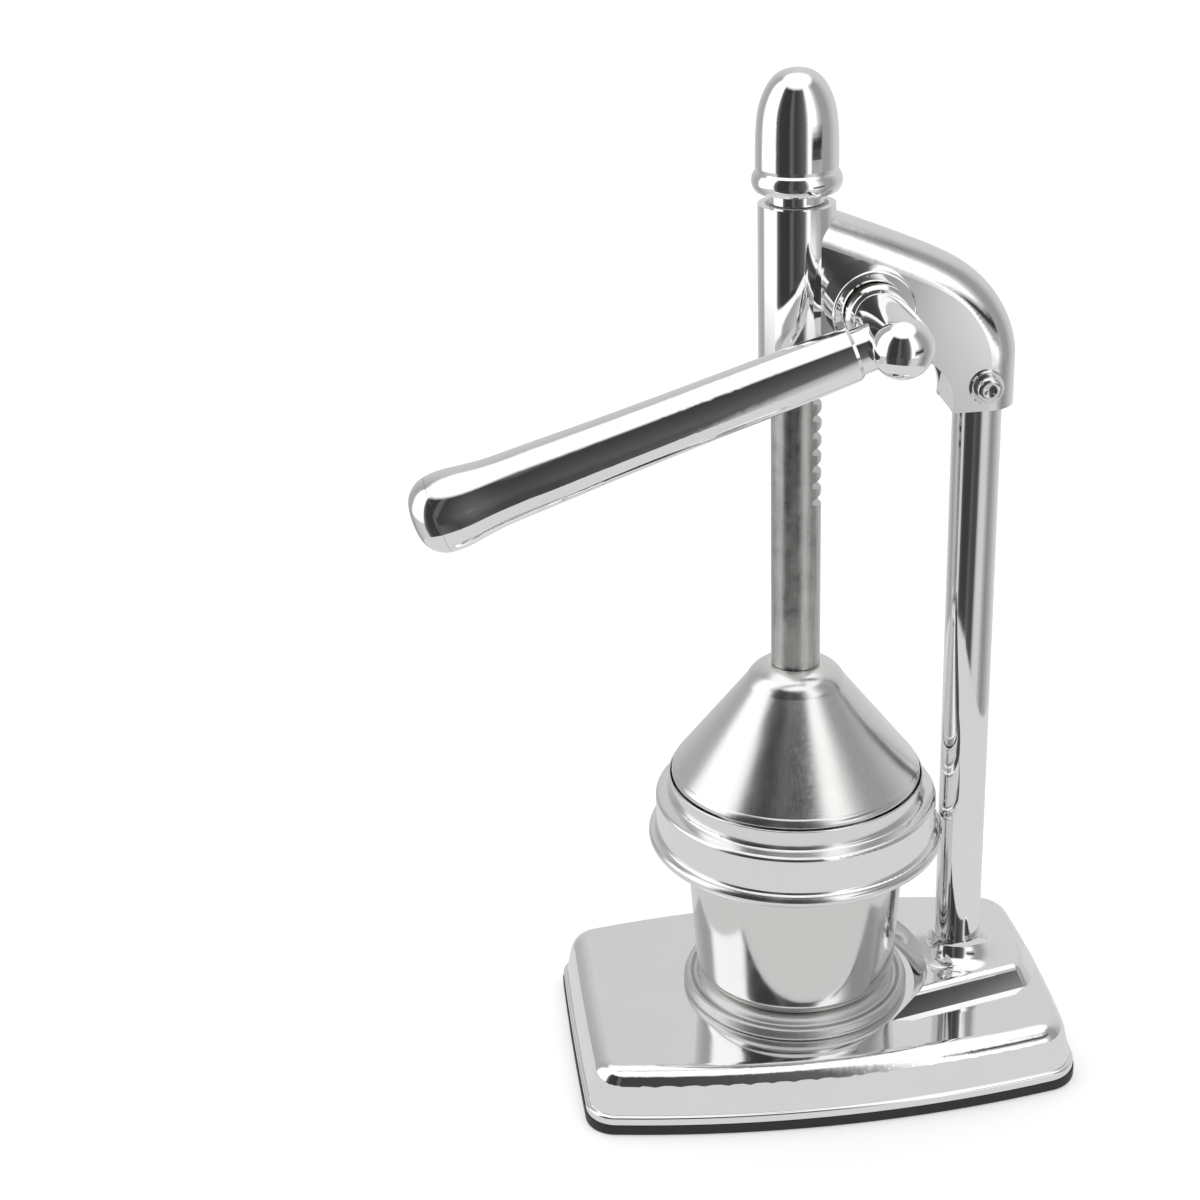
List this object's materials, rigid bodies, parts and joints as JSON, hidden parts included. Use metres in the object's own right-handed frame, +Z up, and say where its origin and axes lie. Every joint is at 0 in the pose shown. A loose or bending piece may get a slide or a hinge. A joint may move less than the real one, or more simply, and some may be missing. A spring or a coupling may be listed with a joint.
{
  "type": "citrus press juicer",
  "caption": "Upright hand citrus press: a lever turns a pinion that drives a toothed rod and conical hood down onto a strainer set over a juice cup on a chromed base.",
  "frame": {"origin": "on the press axis, the common axis of the rod, hood, strainer and cup, in the plane the press stands on", "axes": "+Z up along the press axis; +X from the press axis towards the column; the lever is on the -Y side and points to -X at rest"},
  "size_m": [0.2399, 0.1327, 0.38],
  "materials": {
    "black_rubber": "matt black moulded rubber",
    "chrome_cast": "bright chrome plating on a cast, polished surface",
    "chrome_tube": "bright chrome plating on drawn tube",
    "chrome_lever": "bright chrome plating with faint handling marks",
    "chrome_cap": "bright chrome plating, turned",
    "steel_plate": "plain dark painted sheet steel",
    "zinc_steel": "zinc-plated steel",
    "polished_fastener": "polished plated steel fastener",
    "nylon": "natural white nylon",
    "bronze": "sintered bronze",
    "gear_steel": "machined steel, oiled",
    "rack_steel": "dull mottled plated steel bar",
    "brushed_stainless": "stainless steel brushed round its axis",
    "satin_stainless": "satin stainless steel",
    "polished_stainless": "lightly polished stainless steel"
  },
  "bodies": {
    "frame": {"base_pad": "black_rubber", "base_shell": "chrome_cast", "bottom_plate": "steel_plate", "plate_screws": "zinc_steel", "column": "chrome_tube", "column_plug": "zinc_steel", "column_bolt": "zinc_steel", "column_washer": "zinc_steel", "head_casting": "chrome_cast", "guide_bush_upper": "nylon", "guide_bush_lower": "nylon", "shaft_bush_front": "bronze", "shaft_bush_rear": "bronze", "head_bolt": "polished_fastener", "head_bolt_washer": "polished_fastener", "head_bolt_nut": "polished_fastener"},
    "lever": {"pinion_gear": "gear_steel", "pinion_shaft": "gear_steel", "pinion_key": "gear_steel", "shaft_washer": "zinc_steel", "shaft_clip": "zinc_steel", "lever_hub": "chrome_lever", "hub_pin": "zinc_steel", "handle_tube": "chrome_lever", "handle_end_cap": "chrome_lever", "handle_stud": "zinc_steel"},
    "press": {"rack_rod": "rack_steel", "rod_cap": "chrome_cap", "press_hood": "brushed_stainless", "hood_washer": "zinc_steel", "hood_screw": "zinc_steel"},
    "strainer": {"strainer_collar": "satin_stainless", "strainer_band": "satin_stainless", "strainer_bowl": "satin_stainless", "strainer_skirt": "satin_stainless", "strainer_cone": "satin_stainless"},
    "cup": {"juice_cup": "polished_stainless", "cup_saucer": "polished_stainless"}
  },
  "joints": [
    {"name": "lever_turn", "type": "hinge", "parent": "frame", "child": "lever", "pos_m": [0.023, 0, 0.3005], "axis": [0, 1, 0], "range_deg": [0, 210]},
    {"name": "rod_slide", "type": "slide", "parent": "frame", "child": "press", "axis": [0, 0, 1], "range_m": [0, 0.0588]},
    {"name": "cup_turn", "type": "hinge", "parent": "frame", "child": "cup", "pos_m": [0, 0, 0.03], "axis": [0, 0, 1], "continuous": true},
    {"name": "strainer_turn", "type": "hinge", "parent": "cup", "child": "strainer", "pos_m": [0, 0, 0.092], "axis": [0, 0, 1], "continuous": true}
  ],
  "couplings": [
    {"joint": "rod_slide", "follows": "lever_turn", "m_per_rad": 0.016}
  ]
}
